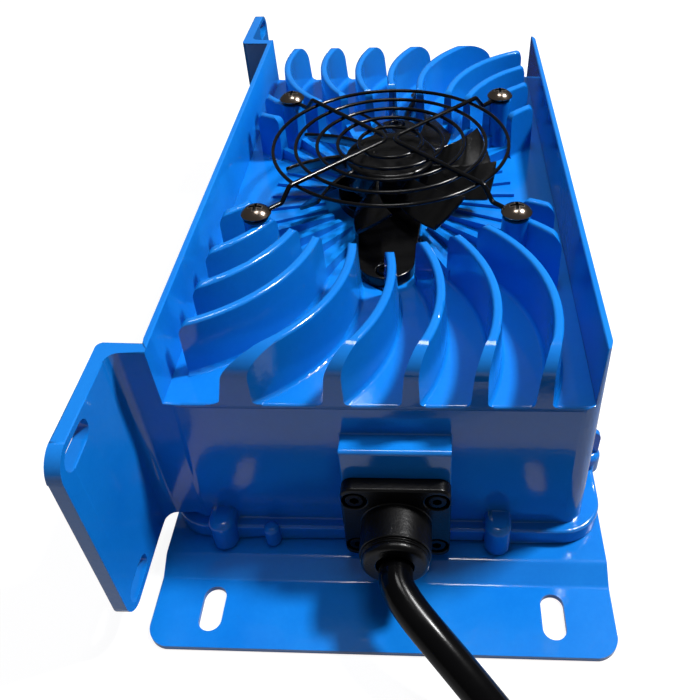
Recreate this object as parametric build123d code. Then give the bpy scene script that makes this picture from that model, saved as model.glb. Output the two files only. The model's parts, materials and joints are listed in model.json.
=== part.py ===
from build123d import *
from math import atan2, cos, degrees, pi, radians, sin, tan
import os

# A sealed charger: a finned die casting over a joggled base plate, cooled by a
# fan that stands on the deck between two fans of curved fins.
# Millimetres. The input end faces -Y, the base plate's feet stand on z = 0.

# Casting
DECK_Z = 63.5
DECK_THICK = 3.0
WALL_TOP_Z = 83.2
BODY_HALF_W_TOP = 61.0
BODY_HALF_L_TOP = 105.07
SIDE_DRAFT = 1.0
END_DRAFT = 0.5
BODY_CORNER_R = 6.0
WALL_TOP_THICK = 1.75
WALL_DECK_THICK = 2.1
CAVITY_WALL = 2.5
CAVITY_END_WALL = 3.07
RIM_HEIGHT = 5.7
RIM_SIDE_OUT = 7.0
RIM_END_OUT = 4.0
RIM_CORNER_R = 13.0
DECK_EDGE_R = 1.0

# Base plate and its gasket
PLATE_THICK = 1.8
PLATE_TOP_Z = 5.2
GASKET_THICK = 0.6
PLATE_BEYOND_RIM_SIDE = 0.45
PLATE_BEYOND_RIM_END = 5.83
PLATE_STEP_L = 6.5
PLATE_BEND_R = 3.5
FOOT_L = 22.0
PLATE_CORNER_R = 7.0
FOOT_SLOT_FROM_SIDE = 17.7
FOOT_SLOT_FROM_END = 12.05
FOOT_SLOT_W = 6.8
FOOT_SLOT_L = 14.1

# Screw bosses around the rim
RIM_BOSS_R = 4.1
RIM_BOSS_HEIGHT = 11.2
RIM_BOSS_TOP_R = 2.2
RIM_BOSS_OUT = 4.7
RIM_SCREW_FRONT = (-50.2, 35.3)
RIM_SCREW_SIDE_IN = 3.5
RIM_BOSS_SIDE_IN = 1.8
RIM_SCREW_SIDE_FROM_END = 24.07
LOCATOR_X = -35.0
LOCATOR_R = 2.5
LOCATOR_HEIGHT = 7.4

# Hanging ears on the left side
EAR_OUT = 12.1
EAR_PLATE_THICK = 3.9
EAR_WEB_THICK = 4.0
EAR_LENGTH = 36.73
EAR_BOTTOM_Z = 12.7
EAR_BELOW_WALL = 0.3
EAR_SLOT_FROM_TIP = 10.45
EAR_SLOT_FROM_BOTTOM = 5.6
EAR_SLOT_FROM_TOP = 5.2
EAR_SLOT_W = 6.5
EAR_SLOT_L = 14.5
EAR_CORNER_R = 7.5
EAR_INNER_R = 3.5
EAR_OUTER_R = 2.0

# Fins: arcs set out from 32 places around the fan's axis
FIN_PLACES = 32
FIN_TOP_Z = 81.5
FIN_ARC_R = 53.0
FIN_START_R = 53.5
FIN_START_R_STRAP = 57.4
FIN_SET_ANGLE = 14.0
# small turns of the front group's fins against the even division, about the fan's axis
# and about each fin's own inner end, leftmost first
FIN_TRIM = (0.0, 2.4, 1.4, -0.6, 0.8, 1.9, 1.0, 1.0, 1.0, 0.5, 0.0)
FIN_SET_TRIM = (0.0, 0.0, 0.0, 1.5, 2.2, -3.9, 1.4, 1.1, 0.8, 1.0, 0.0)
FIN_TOP_THICK = 2.7
FIN_BASE_THICK = 4.1
FIN_WALL_GAP = 4.7
FIN_TOP_EDGE_R = 0.95
FIN_ROOT_R = 1.4
FIN_END_R = 9.0
FIN_END_LEAN = 0.7
FIN_SIDE_END_R = 3.5
FIN_INNER_END_R = 3.0
FIN_PER_SIDE = 5
RIDGE_HEIGHT = 4.5
RIDGE_INNER_HEIGHT = 1.5
RIDGE_THICK = 2.0
RIDGE_SIDE_HEIGHT = 1.2
RIDGE_SIDE_THICK = 1.4
RIDGE_INNER_R = 25.0
RIDGE_SIDE_END_R = 45.0

# Guard posts and wire guard
POST_XY = 41.25
POST_TOP_Z = 82.0
POST_R_TOP = 4.35
POST_R_BASE = 4.7
GUARD_RING_R = (41.5, 33.6, 26.0, 18.7, 11.2)
RING_WIRE_R = 0.65
SPOKE_WIRE_R = 0.8
GUARD_RING_Z = 86.2
SPOKE_SINK = 0.15
HAIRPIN_R = 4.2
EYE_R = 2.85
GUARD_SCREW_R = 1.95
GUARD_HEAD_R = 4.9
GUARD_HEAD_H = 2.7
GUARD_HEAD_RIM = 0.3
GUARD_SCREW_DEPTH = 10.0

# Fan
FAN_MOUNT_TOP_Z = 67.5
FAN_MOUNT_END = 54.4
FAN_MOUNT_HALF_W = 9.3
FAN_WAIST_HALF_W = 11.4
FAN_BASE_R = 20.0
FAN_SCREW_Y = 50.0
FAN_HEAD_R = 2.8
FAN_HEAD_SEAT_Z = 65.9
HUB_R = 16.2
HUB_TOP_Z = 81.7
HUB_TOP_THICK = 1.5
HUB_WALL = 1.4
BLADE_TIP_R = 37.7
BLADE_TOP_Z = 80.7
BLADE_BOTTOM_Z = 72.0
BLADE_COUNT = 9
BLADE_THICK = 1.2
MAGNET_THICK = 1.4
MAGNET_GAP = 0.5
SHAFT_R = 1.5
SHAFT_GAP = 0.03
BEARING_R = 3.0
TUBE_R = 4.2

# Input and output ends
PORT_X = 4.8
PORT_Z = 25.1
BLOCK_W = 31.2
BLOCK_OUT = 7.0
BLOCK_TOP_Z = 52.3
FLANGE_W = 31.4
FLANGE_H = 32.6
FLANGE_THICK = 4.4
FLANGE_CORNER_R = 3.5
PORT_SCREW_DEPTH = 7.9
PORT_SCREW_X = 11.75
PORT_SCREW_Z = 10.9
TUBE_OUTER_R = 10.3
TUBE_LENGTH = 14.83
TUBE_BORE_R = 8.2
CAP_R = 9.7
CAP_LENGTH = 3.4
CAP_SPIGOT = 2.6
CAP_HOLE_R = 5.4
PORT_BORE_R = 5.6
SEAL_LENGTH = 5.8

# Cord
CORD_R = 4.8
CORD_START_Y = -108.5
EXIT_BEND_R = 26.0
COIL_PITCH = 9.3
COIL_R = 52.5
COIL_CENTRE = (79.0, -240.0)
TIE_THICK = 1.2
TIE_WIDTH = 9.0
COIL_LOW_Z = CORD_R + TIE_THICK
COIL_OUTER_R = COIL_R + COIL_PITCH / 2

# Board
BOARD_BOTTOM_Z = 10.0
BOARD_THICK = 1.6
BOARD_SIDE_GAP = 3.5
BOARD_END_GAP = 4.0
PILLAR_FROM_SIDE = 4.5
PILLAR_FROM_END = 4.5
PILLAR_R = 3.6
BOARD_SCREW_R = 1.25
SCREW_R = 1.5

GROMMET_AT = (8.5, 86.0)
LEAD_START_X = 3.7
LEAD_R = 1.3

# Worked out from the sizes above
GASKET_TOP_Z = PLATE_TOP_Z + GASKET_THICK
CAVITY_TOP_Z = DECK_Z - DECK_THICK
BODY_HALF_W_BOTTOM = BODY_HALF_W_TOP + SIDE_DRAFT
BODY_HALF_L_BOTTOM = BODY_HALF_L_TOP + END_DRAFT
WALL_INNER_DECK = BODY_HALF_W_TOP - WALL_DECK_THICK
WALL_INNER_TOP = BODY_HALF_W_TOP - WALL_TOP_THICK
CAVITY_HALF_W = BODY_HALF_W_TOP - CAVITY_WALL
CAVITY_HALF_L = BODY_HALF_L_TOP - CAVITY_END_WALL
RIM_TOP_Z = GASKET_TOP_Z + RIM_HEIGHT
RIM_HALF_W = BODY_HALF_W_TOP + RIM_SIDE_OUT
RIM_HALF_L = BODY_HALF_L_TOP + RIM_END_OUT
RIM_BOSS_TOP_Z = GASKET_TOP_Z + RIM_BOSS_HEIGHT
RIM_SCREW_SIDE_X = RIM_HALF_W - RIM_SCREW_SIDE_IN
RIM_BOSS_SIDE_X = RIM_HALF_W - RIM_BOSS_SIDE_IN
RIM_SCREW_SIDE_Y = (RIM_SCREW_SIDE_FROM_END - BODY_HALF_L_TOP, 0.0, BODY_HALF_L_TOP - RIM_SCREW_SIDE_FROM_END)
PLATE_HALF_W = RIM_HALF_W + PLATE_BEYOND_RIM_SIDE
PLATE_FLAT_HALF_L = RIM_HALF_L + PLATE_BEYOND_RIM_END
PLATE_FOOT_START = PLATE_FLAT_HALF_L + PLATE_STEP_L
PLATE_HALF_L = PLATE_FOOT_START + FOOT_L
FOOT_SLOT = (PLATE_HALF_W - FOOT_SLOT_FROM_SIDE, PLATE_HALF_L - FOOT_SLOT_FROM_END)
EAR_OUTER_X = -(BODY_HALF_W_TOP + EAR_OUT)
EAR_TIP_Y = BODY_HALF_L_TOP + EAR_LENGTH
EAR_TOP_Z = WALL_TOP_Z - EAR_BELOW_WALL
EAR_SLOT_Y = EAR_TIP_Y - EAR_SLOT_FROM_TIP
EAR_SLOT_Z = (EAR_BOTTOM_Z + EAR_SLOT_FROM_BOTTOM, EAR_TOP_Z - EAR_SLOT_FROM_TOP)
SIDE_REACH = RIM_BOSS_SIDE_X + RIM_BOSS_R
# the box without its cord is centred on x = 0 once the part is moved by this
ORIGIN_SHIFT_X = -(EAR_OUTER_X + SIDE_REACH) / 2
FIN_HALF_X = WALL_INNER_DECK - FIN_WALL_GAP
BLOCK_FACE_Y = BODY_HALF_L_TOP + BLOCK_OUT
TUBE_END_Y = BLOCK_FACE_Y + TUBE_LENGTH
CAP_END_Y = TUBE_END_Y + CAP_LENGTH
SEAL_END_Y = TUBE_END_Y - CAP_SPIGOT
SEAL_START_Y = SEAL_END_Y - SEAL_LENGTH
BOARD_TOP_Z = BOARD_BOTTOM_Z + BOARD_THICK
BOARD_HALF_W = CAVITY_HALF_W - BOARD_SIDE_GAP
BOARD_HALF_L = CAVITY_HALF_L - BOARD_END_GAP
PILLAR_XY = (BOARD_HALF_W - PILLAR_FROM_SIDE, BOARD_HALF_L - PILLAR_FROM_END)


def rod(radius, low, high, x=0.0, y=0.0):
    """A round bar standing between two heights."""
    return Pos(x, y, (low + high) / 2) * Cylinder(radius, high - low)


def bar_y(radius, start, end, x=0.0, z=0.0):
    """A round bar lying along Y between two stations."""
    return Pos(x, (start + end) / 2, z) * Rot(90, 0, 0) * Cylinder(radius, abs(end - start))


def block(x0, x1, y0, y1, z0, z1):
    """A box between its limits."""
    centre = Pos((x0 + x1) / 2, (y0 + y1) / 2, (z0 + z1) / 2)
    return centre * Box(abs(x1 - x0), abs(y1 - y0), abs(z1 - z0))


def plan(sketch, low, high):
    """A plan shape extruded between two heights."""
    return extrude(Pos(0, 0, low) * sketch, amount=high - low)


def wire(points, radii, radius):
    """A round wire along straight runs with a bend at each inner corner."""
    path = FilletPolyline(*points, radius=radii)
    section = Plane(origin=path @ 0, z_dir=path % 0) * Circle(radius)
    return sweep(section, path=path)


def rim_screws():
    """Plan positions of the screws that hold the base plate."""
    places = []
    for x in RIM_SCREW_FRONT:
        places.append((x, -(BODY_HALF_L_TOP + RIM_BOSS_OUT)))
        places.append((-x, BODY_HALF_L_TOP + RIM_BOSS_OUT))
    for y in RIM_SCREW_SIDE_Y:
        places.append((RIM_SCREW_SIDE_X, y))
        places.append((-RIM_SCREW_SIDE_X, y))
    return places


def fin_section():
    """Half-round top edges, drafted sides and a flare at the root, in the XZ plane."""
    half_top = FIN_TOP_THICK / 2
    half_base = FIN_BASE_THICK / 2
    root = DECK_Z - 1.0
    sink = 0.1
    sides = []
    for side in (-1, 1):
        base = FIN_ARC_R + side * half_base
        top = FIN_ARC_R + side * half_top
        round_start = (top + side * 0.03, FIN_TOP_Z - FIN_TOP_EDGE_R)
        round_end = (top - side * FIN_TOP_EDGE_R, FIN_TOP_Z)
        centre = (top - side * FIN_TOP_EDGE_R, FIN_TOP_Z - FIN_TOP_EDGE_R)
        middle = (centre[0] + side * FIN_TOP_EDGE_R * 0.7071, centre[1] + FIN_TOP_EDGE_R * 0.7071)
        flare_top = (base, DECK_Z + FIN_ROOT_R)
        flare_end = (base + side * FIN_ROOT_R, DECK_Z - sink)
        flare_middle = (base + side * FIN_ROOT_R * 0.2929, DECK_Z + FIN_ROOT_R * 0.2929)
        foot = (base + side * FIN_ROOT_R, root)
        sides.append((round_start, middle, round_end, flare_top, flare_middle, flare_end, foot))
    left, right = sides
    edges = [
        Line(left[6], left[5]),
        ThreePointArc(left[5], left[4], left[3]),
        Line(left[3], left[0]),
        ThreePointArc(left[0], left[1], left[2]),
        Line(left[2], right[2]),
        ThreePointArc(right[2], right[1], right[0]),
        Line(right[0], right[3]),
        ThreePointArc(right[3], right[4], right[5]),
        Line(right[5], right[6]),
        Line(right[6], left[6]),
    ]
    return Plane.XZ * make_face(edges)


def fin(place):
    """One curved fin, turned about the centre of its own arc.

    The arc's centre lies at start + R (sin d, -cos d), with d the start direction.
    """
    angle = -90.0 + place * 360.0 / FIN_PLACES + FIN_TRIM[place + FIN_PER_SIDE]
    inner_r = FIN_START_R_STRAP if place == 0 else FIN_START_R
    direction = radians(angle + FIN_SET_ANGLE + FIN_SET_TRIM[place + FIN_PER_SIDE])
    start = (inner_r * cos(radians(angle)), inner_r * sin(radians(angle)))
    centre = (start[0] + FIN_ARC_R * sin(direction), start[1] - FIN_ARC_R * cos(direction))
    begin = degrees(atan2(start[1] - centre[1], start[0] - centre[0])) + 3.0
    turned = revolve(fin_section(), axis=Axis.Z, revolution_arc=81.0)
    placed = Pos(centre[0], centre[1], 0) * Rot(0, 0, begin - 81.0) * turned
    return placed & inner_end_envelope(inner_r)


def inner_end_envelope(inner_r):
    """The space outside the fan's circle, with the fins' inner top corners rounded."""
    low = DECK_Z - 2.0
    outer_r = 140.0
    line = Polyline(
        (inner_r, low), (outer_r, low), (outer_r, FIN_TOP_Z), (inner_r + FIN_INNER_END_R, FIN_TOP_Z))
    corner = ThreePointArc(
        (inner_r + FIN_INNER_END_R, FIN_TOP_Z),
        (inner_r + FIN_INNER_END_R * 0.2929, FIN_TOP_Z - FIN_INNER_END_R * 0.2929),
        (inner_r, FIN_TOP_Z - FIN_INNER_END_R))
    close = Line((inner_r, FIN_TOP_Z - FIN_INNER_END_R), (inner_r, low))
    face = Plane.XZ * make_face([*line.edges(), corner, close])
    return revolve(face, axis=Axis.Z)


def fin_envelope():
    """The space the fins end in: leaning, rounded ends and rounded side ends."""
    low = DECK_Z - 2.0
    face_y = BODY_HALF_L_TOP
    ends = make_face(Polyline(
        (-face_y, low), (face_y, low), (face_y, DECK_Z), (face_y - FIN_END_LEAN, FIN_TOP_Z),
        (-face_y + FIN_END_LEAN, FIN_TOP_Z), (-face_y, DECK_Z), close=True))
    ends = fillet(ends.vertices().group_by(Axis.Y)[-1], FIN_END_R)
    lengthways = extrude(Plane.YZ * ends, amount=FIN_HALF_X, both=True)
    sides = make_face(Polyline(
        (-FIN_HALF_X, low), (FIN_HALF_X, low), (FIN_HALF_X, FIN_TOP_Z), (-FIN_HALF_X, FIN_TOP_Z), close=True))
    sides = fillet(sides.vertices().group_by(Axis.Y)[-1], FIN_SIDE_END_R)
    sideways = extrude(Plane.XZ * sides, amount=face_y, both=True)
    return lengthways & sideways


def fins():
    """Both groups of fins, the rear one the front one turned half round."""
    front = []
    for place in range(-FIN_PER_SIDE, FIN_PER_SIDE + 1):
        front.append(fin(place))
    envelope = fin_envelope()
    pieces = []
    for one in front:
        cut = one & envelope
        pieces.append(cut)
        pieces.append(Rot(0, 0, 180) * cut)
    return pieces


def ridges():
    """Low ridges under the fan in line with every fin place, rising towards the tall fins."""
    pieces = []
    low = DECK_Z - 1.0
    clear_l = 2 * FAN_MOUNT_END + 3.0
    clear_w = 2 * FAN_MOUNT_HALF_W + 4.5
    keep_clear = Rot(0, 0, 90) * plan(SlotOverall(clear_l, clear_w), low - 1, FIN_TOP_Z)
    for place in range(FIN_PLACES):
        angle = place * 360.0 / FIN_PLACES
        off_axis = min(abs(angle - 90.0), abs(angle - 270.0))
        if off_axis < 0.1:
            continue
        if off_axis <= FIN_PER_SIDE * 360.0 / FIN_PLACES + 0.1:
            reach = FIN_START_R + 1.5
            thick = RIDGE_THICK
            inner_top = DECK_Z + RIDGE_INNER_HEIGHT
            outer_top = DECK_Z + RIDGE_HEIGHT
        else:
            reach = RIDGE_SIDE_END_R
            thick = RIDGE_SIDE_THICK
            inner_top = DECK_Z + RIDGE_SIDE_HEIGHT
            outer_top = inner_top
        side = make_face(Polyline(
            (RIDGE_INNER_R, low), (reach, low), (reach, outer_top), (RIDGE_INNER_R, inner_top), close=True))
        strip = extrude(Plane.XZ * side, amount=thick / 2, both=True)
        pieces.append(Rot(0, 0, angle) * strip - keep_clear)
    return pieces


def ear():
    """The front left hanging ear: a web off the end face and a plate along Y."""
    face = -BODY_HALF_L_TOP
    inner_x = EAR_OUTER_X + EAR_PLATE_THICK
    web_end = -(BODY_HALF_W_TOP - BODY_CORNER_R - 1.0)
    outline = make_face(Polyline(
        (EAR_OUTER_X, -EAR_TIP_Y), (inner_x, -EAR_TIP_Y), (inner_x, face), (web_end, face),
        (web_end, face + EAR_WEB_THICK), (EAR_OUTER_X, face + EAR_WEB_THICK), close=True))
    inner_corner = outline.vertices().sort_by_distance((inner_x, face, 0))[0]
    outline = fillet(inner_corner, EAR_INNER_R)
    outer_corner = outline.vertices().sort_by_distance((EAR_OUTER_X, face + EAR_WEB_THICK, 0))[0]
    outline = fillet(outer_corner, EAR_OUTER_R)
    shape = plan(outline, EAR_BOTTOM_Z, EAR_TOP_Z)
    corners = shape.edges().filter_by(Axis.X).group_by(Axis.Y)[0]
    shape = fillet(corners, EAR_CORNER_R)
    for z in EAR_SLOT_Z:
        slot = Pos(EAR_OUTER_X, -EAR_SLOT_Y, z) * Rot(0, 90, 0) * Rot(0, 0, 90)
        shape -= slot * extrude(SlotOverall(EAR_SLOT_L, EAR_SLOT_W), amount=10, both=True)
    return shape


def housing():
    """The die casting with its walls, fins, posts, rim, bosses and ears."""
    low_plan = Pos(0, 0, GASKET_TOP_Z) * RectangleRounded(
        2 * BODY_HALF_W_BOTTOM, 2 * BODY_HALF_L_BOTTOM, BODY_CORNER_R)
    high_plan = Pos(0, 0, WALL_TOP_Z) * RectangleRounded(
        2 * BODY_HALF_W_TOP, 2 * BODY_HALF_L_TOP, BODY_CORNER_R)
    shape = loft([low_plan, high_plan])

    # open channel between the side walls, above the deck
    channel = Polyline(
        (-WALL_INNER_DECK, DECK_Z),
        (WALL_INNER_DECK, DECK_Z),
        (WALL_INNER_TOP, WALL_TOP_Z),
        (WALL_INNER_TOP, WALL_TOP_Z + 5),
        (-WALL_INNER_TOP, WALL_TOP_Z + 5),
        (-WALL_INNER_TOP, WALL_TOP_Z),
        close=True,
    )
    open_channel = extrude(make_face(Plane.XZ * channel), amount=1.5 * BODY_HALF_L_TOP, both=True)
    shape -= open_channel
    deck_end_y = BODY_HALF_L_TOP + END_DRAFT * (WALL_TOP_Z - DECK_Z) / (WALL_TOP_Z - GASKET_TOP_Z)
    low = DECK_Z - DECK_EDGE_R
    edge = block(-WALL_INNER_DECK, WALL_INNER_DECK, -deck_end_y - 1, -deck_end_y + DECK_EDGE_R, low, DECK_Z + 1)
    edge -= Pos(0, -deck_end_y + DECK_EDGE_R, low) * Rot(0, 90, 0) * Cylinder(DECK_EDGE_R, 4 * BODY_HALF_W_TOP)
    shape -= edge
    shape -= mirror(edge, about=Plane.XZ)

    # rim
    rim = plan(RectangleRounded(2 * RIM_HALF_W, 2 * RIM_HALF_L, RIM_CORNER_R), GASKET_TOP_Z, RIM_TOP_Z)
    rim = fillet(rim.edges().group_by(Axis.Z)[-1], 1.0)
    shape += rim

    # bosses of the base screws, and their gussets on the sides
    face = BODY_HALF_L_TOP + RIM_BOSS_OUT
    for turn in (0, 180):
        for x in RIM_SCREW_FRONT:
            boss = rod(RIM_BOSS_R, GASKET_TOP_Z, RIM_BOSS_TOP_Z, x, -face)
            boss += block(x - RIM_BOSS_R, x + RIM_BOSS_R, -face, 1.0 - BODY_HALF_L_TOP,
                          GASKET_TOP_Z, RIM_BOSS_TOP_Z)
            nose = boss.edges().filter_by(GeomType.CIRCLE).group_by(Axis.Z)[-1]
            boss = fillet(nose, RIM_BOSS_TOP_R)
            shape += Rot(0, 0, turn) * boss
        locator = rod(LOCATOR_R, GASKET_TOP_Z, GASKET_TOP_Z + LOCATOR_HEIGHT, LOCATOR_X, -face)
        locator = fillet(locator.edges().group_by(Axis.Z)[-1], 1.6)
        shape += Rot(0, 0, turn) * locator
        for y in RIM_SCREW_SIDE_Y:
            inner = BODY_HALF_W_TOP - 1
            low = RIM_TOP_Z - 2.0
            boss = rod(RIM_BOSS_R, low, RIM_BOSS_TOP_Z, RIM_BOSS_SIDE_X, y)
            boss += block(inner, RIM_BOSS_SIDE_X, y - RIM_BOSS_R, y + RIM_BOSS_R, low, RIM_BOSS_TOP_Z)
            nose = boss.edges().filter_by(GeomType.CIRCLE).group_by(Axis.Z)[-1]
            boss = fillet(nose, RIM_BOSS_TOP_R)
            outer = RIM_BOSS_SIDE_X + RIM_BOSS_R - 1.0
            gusset = make_face(Polyline(
                (inner, RIM_BOSS_TOP_Z - 3), (outer, RIM_BOSS_TOP_Z - 3), (outer, RIM_BOSS_TOP_Z + 8),
                (BODY_HALF_W_TOP, RIM_BOSS_TOP_Z + 14), (inner, RIM_BOSS_TOP_Z + 14), close=True))
            shoulder = gusset.vertices().sort_by_distance((outer, RIM_BOSS_TOP_Z + 8, 0))[0]
            gusset = fillet(shoulder, 3.0)
            rib = extrude(Plane.XZ * gusset, amount=1.0, both=True)
            shape += Rot(0, 0, turn) * (boss + Pos(0, y, 0) * rib)

    # blocks that carry the input and output ends
    for side in (-1, 1):
        port = block(PORT_X - BLOCK_W / 2, PORT_X + BLOCK_W / 2, side * (BODY_HALF_L_TOP - 1),
                     side * BLOCK_FACE_Y, GASKET_TOP_Z, BLOCK_TOP_Z)
        outer = port.edges().filter_by(Axis.X).group_by(Axis.Y)[0 if side < 0 else -1]
        top_edge = outer.group_by(Axis.Z)[-1]
        port = fillet(top_edge, 1.2)
        shape += port

    # ears, clear of the channel, the rear one mirrored
    front_ear = ear() - open_channel
    shape += front_ear
    shape += mirror(front_ear, about=Plane.XZ)

    # fins, ridges and guard posts
    shape = shape.fuse(*fins())
    shape = shape.fuse(*ridges())
    posts = []
    for x in (-POST_XY, POST_XY):
        for y in (-POST_XY, POST_XY):
            height = POST_TOP_Z - DECK_Z + 1.0
            post = Cone(POST_R_BASE, POST_R_TOP, height)
            posts.append(Pos(x, y, POST_TOP_Z - height / 2) * post)
    shape = shape.fuse(*posts)

    # cavity below the deck, with pillars for the board and the fan screws left in it
    cavity = block(-CAVITY_HALF_W, CAVITY_HALF_W, -CAVITY_HALF_L, CAVITY_HALF_L, 0, CAVITY_TOP_Z)
    cavity = fillet(cavity.edges().filter_by(Axis.Z), 4.0)
    for x in (-PILLAR_XY[0], PILLAR_XY[0]):
        for y in (-PILLAR_XY[1], PILLAR_XY[1]):
            cavity -= rod(PILLAR_R, BOARD_TOP_Z, CAVITY_TOP_Z + 1, x, y)
    for y in (-FAN_SCREW_Y, FAN_SCREW_Y):
        cavity -= rod(4.0, 53.0, CAVITY_TOP_Z + 1, 0, y)
    for x in (-POST_XY, POST_XY):
        for y in (-POST_XY, POST_XY):
            cavity -= rod(4.5, 57.0, CAVITY_TOP_Z + 1, x, y)
    shape -= cavity

    # holes
    holes = []
    for x, y in rim_screws():
        holes.append(rod(SCREW_R, 4, 14.5, x, y))
    for x in (-PILLAR_XY[0], PILLAR_XY[0]):
        for y in (-PILLAR_XY[1], PILLAR_XY[1]):
            holes.append(rod(BOARD_SCREW_R, 5, BOARD_TOP_Z + 8.0, x, y))
    for y in (-FAN_SCREW_Y, FAN_SCREW_Y):
        holes.append(rod(SCREW_R, 55.5, DECK_Z + 3, 0, y))
    for x in (-POST_XY, POST_XY):
        for y in (-POST_XY, POST_XY):
            holes.append(rod(GUARD_SCREW_R, POST_TOP_Z - GUARD_SCREW_DEPTH, POST_TOP_Z + 3, x, y))
    holes.append(rod(3.6, 55, 70, *GROMMET_AT))
    for side in (-1, 1):
        holes.append(bar_y(PORT_BORE_R, side * (CAVITY_HALF_L - 5), side * (BLOCK_FACE_Y + 5), PORT_X, PORT_Z))
        for x in (-PORT_SCREW_X, PORT_SCREW_X):
            for z in (-PORT_SCREW_Z, PORT_SCREW_Z):
                holes.append(bar_y(SCREW_R, side * (BLOCK_FACE_Y - PORT_SCREW_DEPTH - 0.5),
                                   side * (BLOCK_FACE_Y + 2), PORT_X + x, PORT_Z + z))
    return shape.cut(*holes)


def base_plate():
    """Sheet plate, bent down in a soft step to a foot with two slots at each end."""
    middle = PLATE_THICK / 2
    high = PLATE_TOP_Z - middle
    line = FilletPolyline(
        (-PLATE_HALF_L, middle), (-PLATE_FOOT_START, middle), (-PLATE_FLAT_HALF_L, high),
        (PLATE_FLAT_HALF_L, high), (PLATE_FOOT_START, middle), (PLATE_HALF_L, middle),
        radius=PLATE_BEND_R)
    section = trace(line, PLATE_THICK)
    shape = extrude(Plane.YZ * section, amount=PLATE_HALF_W, both=True)
    outline = plan(RectangleRounded(2 * PLATE_HALF_W, 2 * PLATE_HALF_L, PLATE_CORNER_R), -1, 10)
    shape &= outline
    for x in (-FOOT_SLOT[0], FOOT_SLOT[0]):
        for y in (-FOOT_SLOT[1], FOOT_SLOT[1]):
            slot = Rot(0, 0, 90) * SlotOverall(FOOT_SLOT_L, FOOT_SLOT_W)
            shape -= Pos(x, y, 0) * plan(slot, -1, PLATE_TOP_Z)
    for x, y in rim_screws():
        shape -= rod(SCREW_R, -1, PLATE_TOP_Z + 1, x, y)
    return shape


def base_gasket():
    """Flat gasket between the rim and the plate."""
    outer = RectangleRounded(2 * RIM_HALF_W - 1.0, 2 * RIM_HALF_L - 1.0, RIM_CORNER_R - 0.5)
    inner = RectangleRounded(2 * CAVITY_HALF_W + 1.0, 2 * CAVITY_HALF_L + 1.0, 4.5)
    shape = plan(outer - inner, PLATE_TOP_Z, GASKET_TOP_Z)
    for x, y in rim_screws():
        shape += rod(RIM_BOSS_R - 0.4, PLATE_TOP_Z, GASKET_TOP_Z, x, y)
    for x, y in rim_screws():
        shape -= rod(SCREW_R, 0, 10, x, y)
    return shape


def base_screws():
    """Pan heads under the plate, threads up in the rim bosses."""
    under = PLATE_TOP_Z - PLATE_THICK
    one = rod(SCREW_R, under, 14.0)
    head = rod(2.8, under - 2.0, under)
    head = fillet(head.edges().group_by(Axis.Z)[0], 0.7)
    one += head
    recess = block(-1.5, 1.5, -0.4, 0.4, under - 2.5, under - 0.9)
    recess += block(-0.4, 0.4, -1.5, 1.5, under - 2.5, under - 0.9)
    one -= recess
    return [Pos(x, y, 0) * one for x, y in rim_screws()]


def port_gland():
    """Flange and tube of a cord entry, facing -Y."""
    flange = Rot(90, 0, 0) * extrude(
        RectangleRounded(FLANGE_W, FLANGE_H, FLANGE_CORNER_R), amount=FLANGE_THICK)
    shape = Pos(PORT_X, -BLOCK_FACE_Y, PORT_Z) * flange
    shape = fillet(shape.edges().group_by(Axis.Y)[0], 0.8)
    shape += bar_y(TUBE_OUTER_R, -BLOCK_FACE_Y, -TUBE_END_Y, PORT_X, PORT_Z)
    shape -= bar_y(TUBE_BORE_R, -SEAL_START_Y, -CAP_END_Y, PORT_X, PORT_Z)
    shape -= bar_y(PORT_BORE_R, -BODY_HALF_L_TOP, -CAP_END_Y, PORT_X, PORT_Z)
    front = -(BLOCK_FACE_Y + FLANGE_THICK)
    for x in (-PORT_SCREW_X, PORT_SCREW_X):
        for z in (-PORT_SCREW_Z, PORT_SCREW_Z):
            shape -= bar_y(SCREW_R, front + 10, front - 10, PORT_X + x, PORT_Z + z)
            shape -= bar_y(3.6, front + 3.2, front - 10, PORT_X + x, PORT_Z + z) - bar_y(
                TUBE_OUTER_R, front + 10, front - 30, PORT_X, PORT_Z)
    return shape


def port_seal(bore):
    """Rubber seal squeezed round the cord inside the tube."""
    ring = bar_y(TUBE_BORE_R, -SEAL_START_Y, -SEAL_END_Y, PORT_X, PORT_Z)
    return ring - bar_y(bore, -BLOCK_FACE_Y, -CAP_END_Y, PORT_X, PORT_Z)


def port_cap():
    """Screwed cap with two grooves and a spigot that presses the seal."""
    cap = bar_y(CAP_R, -TUBE_END_Y, -CAP_END_Y, PORT_X, PORT_Z)
    cap = fillet(cap.edges().group_by(Axis.Y)[0], 1.5)
    for y in (-TUBE_END_Y - 0.55, -TUBE_END_Y - 1.25):
        ring = bar_y(CAP_R + 1, y - 0.17, y + 0.17, PORT_X, PORT_Z)
        cap -= ring - bar_y(CAP_R - 0.35, y - 0.17, y + 0.17, PORT_X, PORT_Z)
    cap += bar_y(TUBE_BORE_R, -SEAL_END_Y, -TUBE_END_Y - 1.6, PORT_X, PORT_Z)
    return cap - bar_y(CAP_HOLE_R, -BLOCK_FACE_Y, -CAP_END_Y - 5, PORT_X, PORT_Z)


def port_screws():
    """Four socket heads that hold a flange."""
    front = -(BLOCK_FACE_Y + FLANGE_THICK)
    seat = front + 3.2
    one = bar_y(SCREW_R, -(BLOCK_FACE_Y - PORT_SCREW_DEPTH), seat)
    head = bar_y(2.75, seat, seat - 3.0)
    head = fillet(head.edges().group_by(Axis.Y)[0], 0.35)
    one += head
    hexagon = Plane(origin=(0, seat - 1.4, 0), z_dir=(0, -1, 0)) * RegularPolygon(1.45, 6)
    one -= extrude(hexagon, amount=3)
    screws = []
    for x in (-PORT_SCREW_X, PORT_SCREW_X):
        for z in (-PORT_SCREW_Z, PORT_SCREW_Z):
            screws.append(Pos(PORT_X + x, 0, PORT_Z + z) * one)
    return screws


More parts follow.
